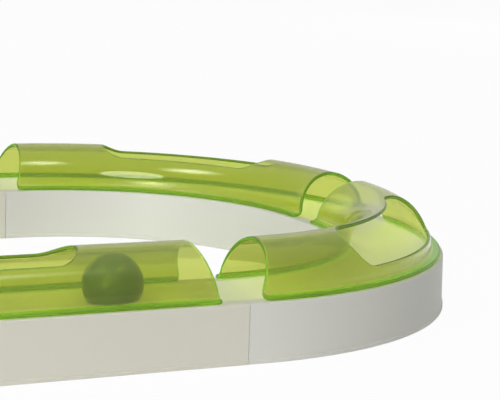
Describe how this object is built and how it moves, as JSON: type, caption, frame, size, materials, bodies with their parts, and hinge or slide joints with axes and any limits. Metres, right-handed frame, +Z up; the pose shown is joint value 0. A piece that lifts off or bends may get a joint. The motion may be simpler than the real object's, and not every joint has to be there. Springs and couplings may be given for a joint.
{
  "type": "cat ball track toy",
  "caption": "Low stadium-shaped ball track for cats: clip-together white track sections, translucent green arch covers with paw windows, and a ball running inside.",
  "frame": {"origin": "floor level at the middle of the loop", "axes": "+X along the straight sides, +Y from the front side to the rear side, +Z up"},
  "size_m": [0.821, 0.373, 0.0527],
  "materials": {
    "track_white": "satin moulded",
    "cover_green": "clear tinted gloss",
    "ball_grey": "satin"
  },
  "bodies": {
    "track_loop": {"straight_track_front_right": "track_white", "straight_track_front_left": "track_white", "straight_track_rear_right": "track_white", "straight_track_rear_left": "track_white", "curve_track_front_right": "track_white", "curve_track_front_left": "track_white", "curve_track_rear_right": "track_white", "curve_track_rear_left": "track_white"},
    "straight_front_right_lid": {"straight_cover_front_right": "cover_green"},
    "straight_front_left_lid": {"straight_cover_front_left": "cover_green"},
    "straight_rear_right_lid": {"straight_cover_rear_right": "cover_green"},
    "straight_rear_left_lid": {"straight_cover_rear_left": "cover_green"},
    "curve_front_right_lid": {"curve_cover_front_right": "cover_green"},
    "curve_front_left_lid": {"curve_cover_front_left": "cover_green"},
    "curve_rear_right_lid": {"curve_cover_rear_right": "cover_green"},
    "curve_rear_left_lid": {"curve_cover_rear_left": "cover_green"},
    "ball": {"ball_front_half": "ball_grey", "ball_rear_half": "ball_grey"}
  },
  "joints": [
    {"name": "straight_front_right_lid_lift", "type": "slide", "parent": "track_loop", "child": "straight_front_right_lid", "axis": [0, 0, 1], "range_m": [0, 0.06]},
    {"name": "straight_front_left_lid_lift", "type": "slide", "parent": "track_loop", "child": "straight_front_left_lid", "axis": [0, 0, 1], "range_m": [0, 0.06]},
    {"name": "straight_rear_right_lid_lift", "type": "slide", "parent": "track_loop", "child": "straight_rear_right_lid", "axis": [0, 0, 1], "range_m": [0, 0.06]},
    {"name": "straight_rear_left_lid_lift", "type": "slide", "parent": "track_loop", "child": "straight_rear_left_lid", "axis": [0, 0, 1], "range_m": [0, 0.06]},
    {"name": "curve_front_right_lid_lift", "type": "slide", "parent": "track_loop", "child": "curve_front_right_lid", "axis": [0, 0, 1], "range_m": [0, 0.06]},
    {"name": "curve_front_left_lid_lift", "type": "slide", "parent": "track_loop", "child": "curve_front_left_lid", "axis": [0, 0, 1], "range_m": [0, 0.06]},
    {"name": "curve_rear_right_lid_lift", "type": "slide", "parent": "track_loop", "child": "curve_rear_right_lid", "axis": [0, 0, 1], "range_m": [0, 0.06]},
    {"name": "curve_rear_left_lid_lift", "type": "slide", "parent": "track_loop", "child": "curve_rear_left_lid", "axis": [0, 0, 1], "range_m": [0, 0.06]},
    {"name": "ball_run", "type": "slide", "parent": "track_loop", "child": "ball", "axis": [1, 0, 0], "range_m": [-0.375, 0.042]}
  ]
}
